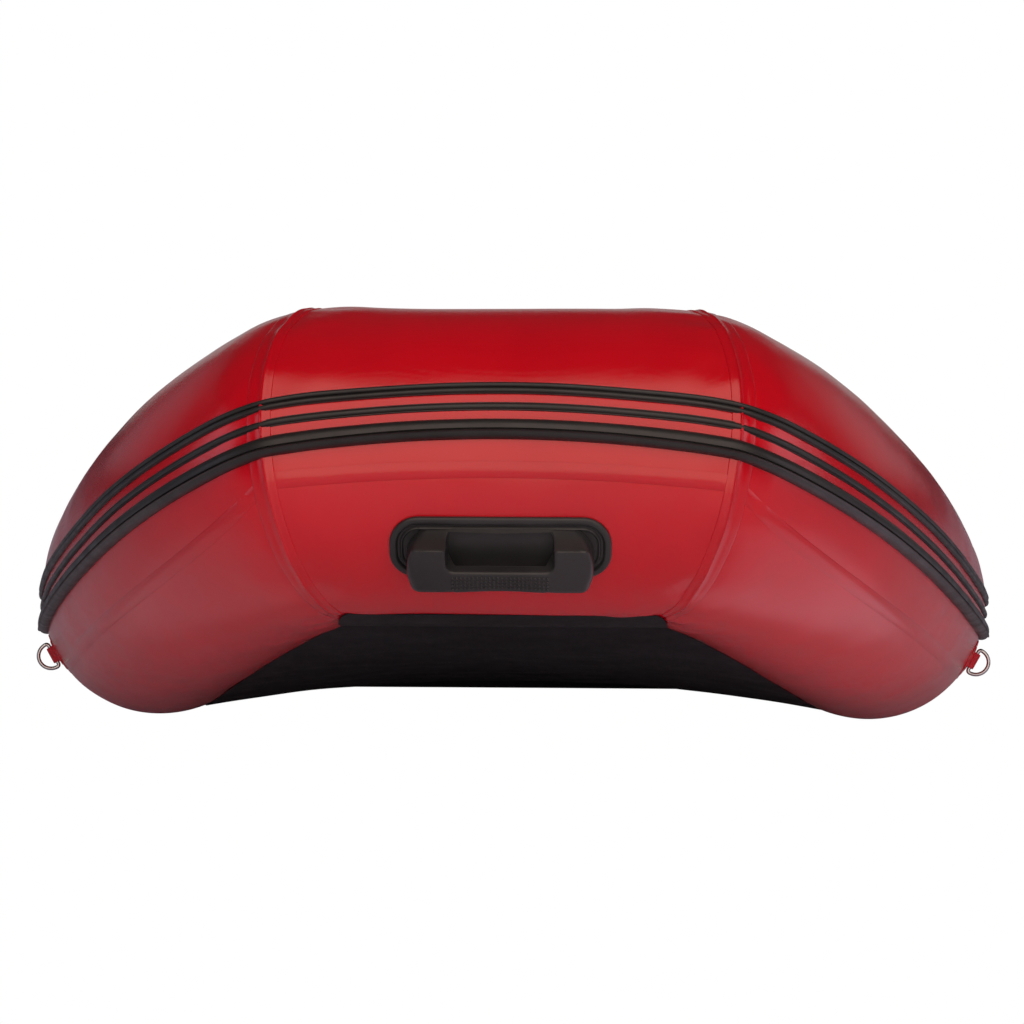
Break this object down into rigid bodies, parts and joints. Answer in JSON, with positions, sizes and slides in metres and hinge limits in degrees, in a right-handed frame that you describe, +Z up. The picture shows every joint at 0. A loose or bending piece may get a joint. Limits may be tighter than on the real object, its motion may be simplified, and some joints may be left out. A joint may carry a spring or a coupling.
{
  "type": "inflatable dinghy",
  "caption": "Open inflatable dinghy with a raised bow tube, rub strakes, moulded bow handle, tow rings, air deck, transom, sliding thwart and oars.",
  "frame": {"origin": "on the ground, in the middle of the hull's length and beam", "axes": "+Z up, -Y towards the bow, +X to port"},
  "size_m": [1.587, 2.8976, 0.7183],
  "materials": {
    "red_fabric": "satin coated fabric",
    "black_rubber": "satin moulded rubber",
    "black_fabric": "matt coated fabric",
    "deck_fabric": "textured coated fabric",
    "grey_board": "painted marine plywood",
    "stainless": "polished",
    "aluminium": "anodised",
    "black_plastic": "fine texture",
    "white_plastic": "smooth"
  },
  "bodies": {
    "hull": {"bow_tube": "red_fabric", "port_bow_curve": "red_fabric", "starboard_bow_curve": "red_fabric", "port_side_tube": "red_fabric", "starboard_side_tube": "red_fabric", "port_stern_cone": "red_fabric", "starboard_stern_cone": "red_fabric", "port_stern_cap": "black_rubber", "starboard_stern_cap": "black_rubber", "port_baffle": "black_fabric", "starboard_baffle": "black_fabric", "mitre_tapes": "red_fabric", "side_tapes": "red_fabric", "upper_strake": "black_rubber", "middle_strake": "black_rubber", "lower_strake": "black_rubber", "bottom_sheet": "black_fabric", "bow_handle_plate": "black_rubber", "bow_handle_grip": "black_rubber", "port_ring_patch": "red_fabric", "starboard_ring_patch": "red_fabric", "air_deck": "deck_fabric", "transom_board": "grey_board", "port_transom_holder": "black_rubber", "starboard_transom_holder": "black_rubber", "outer_motor_pad": "black_rubber", "inner_motor_pad": "black_rubber", "motor_pad_screws": "stainless", "tow_eyes": "stainless", "tow_eye_nuts": "stainless", "drain_body": "black_plastic", "port_thwart_rail": "black_rubber", "starboard_thwart_rail": "black_rubber", "port_oarlock_base": "black_rubber", "starboard_oarlock_base": "black_rubber", "port_carry_handle": "black_rubber", "starboard_carry_handle": "black_rubber", "valve_bodies": "black_plastic"},
    "port_tow_ring": {"port_tow_ring": "stainless"},
    "starboard_tow_ring": {"starboard_tow_ring": "stainless"},
    "thwart": {"thwart_board": "grey_board", "thwart_clips": "black_plastic"},
    "port_swivel": {"port_oarlock_swivel": "black_plastic"},
    "starboard_swivel": {"starboard_oarlock_swivel": "black_plastic"},
    "port_oar": {"port_oar_shaft": "aluminium", "port_oar_grips": "black_rubber", "port_oar_blade": "black_plastic"},
    "starboard_oar": {"starboard_oar_shaft": "aluminium", "starboard_oar_grips": "black_rubber", "starboard_oar_blade": "black_plastic"},
    "drain_plug": {"drain_plug": "black_plastic"},
    "bow_valve_poppet": {"bow_valve_poppet": "white_plastic"},
    "bow_valve_cap": {"bow_valve_cap": "black_plastic"},
    "port_valve_poppet": {"port_valve_poppet": "white_plastic"},
    "port_valve_cap": {"port_valve_cap": "black_plastic"},
    "starboard_valve_poppet": {"starboard_valve_poppet": "white_plastic"},
    "starboard_valve_cap": {"starboard_valve_cap": "black_plastic"},
    "deck_valve_poppet": {"deck_valve_poppet": "white_plastic"},
    "deck_valve_cap": {"deck_valve_cap": "black_plastic"}
  },
  "joints": [
    {"name": "port_tow_ring_hinge", "type": "hinge", "parent": "hull", "child": "port_tow_ring", "pos_m": [0.73221, -0.49959, 0.13987], "axis": [0.4891, 0.1163, 0.8644], "range_deg": [-80, 80]},
    {"name": "starboard_tow_ring_hinge", "type": "hinge", "parent": "hull", "child": "starboard_tow_ring", "pos_m": [-0.73221, -0.49959, 0.13987], "axis": [-0.4891, 0.1163, 0.8644], "range_deg": [-80, 80]},
    {"name": "thwart_slide", "type": "slide", "parent": "hull", "child": "thwart", "axis": [0, 1, 0], "range_m": [-0.28, 0.28]},
    {"name": "port_oarlock_turn", "type": "hinge", "parent": "hull", "child": "port_swivel", "pos_m": [0.61616, 0.29, 0.38118], "axis": [0.1219, 0, 0.9925], "range_deg": [-115, 0]},
    {"name": "starboard_oarlock_turn", "type": "hinge", "parent": "hull", "child": "starboard_swivel", "pos_m": [-0.61616, 0.29, 0.38118], "axis": [-0.1219, 0, 0.9925], "range_deg": [0, 115]},
    {"name": "port_oar_feather", "type": "hinge", "parent": "port_swivel", "child": "port_oar", "pos_m": [0.62639, 0.29, 0.46456], "axis": [0, 1, 0], "range_deg": [-90, 90]},
    {"name": "starboard_oar_feather", "type": "hinge", "parent": "starboard_swivel", "child": "starboard_oar", "pos_m": [-0.62639, 0.29, 0.46456], "axis": [0, 1, 0], "range_deg": [-90, 90]},
    {"name": "drain_plug_pull", "type": "slide", "parent": "hull", "child": "drain_plug", "axis": [0, -1, 0], "range_m": [0, 0.03]},
    {"name": "bow_valve_push", "type": "slide", "parent": "hull", "child": "bow_valve_poppet", "axis": [0, -0.7071, -0.7071], "range_m": [0, 0.005], "stiffness_N_per_m": 300, "springref_m": -0.003},
    {"name": "bow_valve_cap_turn", "type": "hinge", "parent": "hull", "child": "bow_valve_cap", "pos_m": [0, -1.11105, 0.66195], "axis": [0, 0.7071, 0.7071], "range_deg": [0, 90]},
    {"name": "port_valve_push", "type": "slide", "parent": "hull", "child": "port_valve_poppet", "axis": [0.7071, 0, -0.7071], "range_m": [0, 0.005], "stiffness_N_per_m": 300, "springref_m": -0.003},
    {"name": "port_valve_cap_turn", "type": "hinge", "parent": "hull", "child": "port_valve_cap", "pos_m": [0.45865, 0.63, 0.32695], "axis": [-0.7071, 0, 0.7071], "range_deg": [0, 90]},
    {"name": "starboard_valve_push", "type": "slide", "parent": "hull", "child": "starboard_valve_poppet", "axis": [-0.7071, 0, -0.7071], "range_m": [0, 0.005], "stiffness_N_per_m": 300, "springref_m": -0.003},
    {"name": "starboard_valve_cap_turn", "type": "hinge", "parent": "hull", "child": "starboard_valve_cap", "pos_m": [-0.45865, 0.63, 0.32695], "axis": [0.7071, 0, 0.7071], "range_deg": [0, 90]},
    {"name": "deck_valve_push", "type": "slide", "parent": "hull", "child": "deck_valve_poppet", "axis": [0, 0, -1], "range_m": [0, 0.005], "stiffness_N_per_m": 300, "springref_m": -0.003},
    {"name": "deck_valve_cap_turn", "type": "hinge", "parent": "hull", "child": "deck_valve_cap", "pos_m": [-0.35242, 0.733, 0.0618], "axis": [0, 0, 1], "range_deg": [0, 90]}
  ]
}
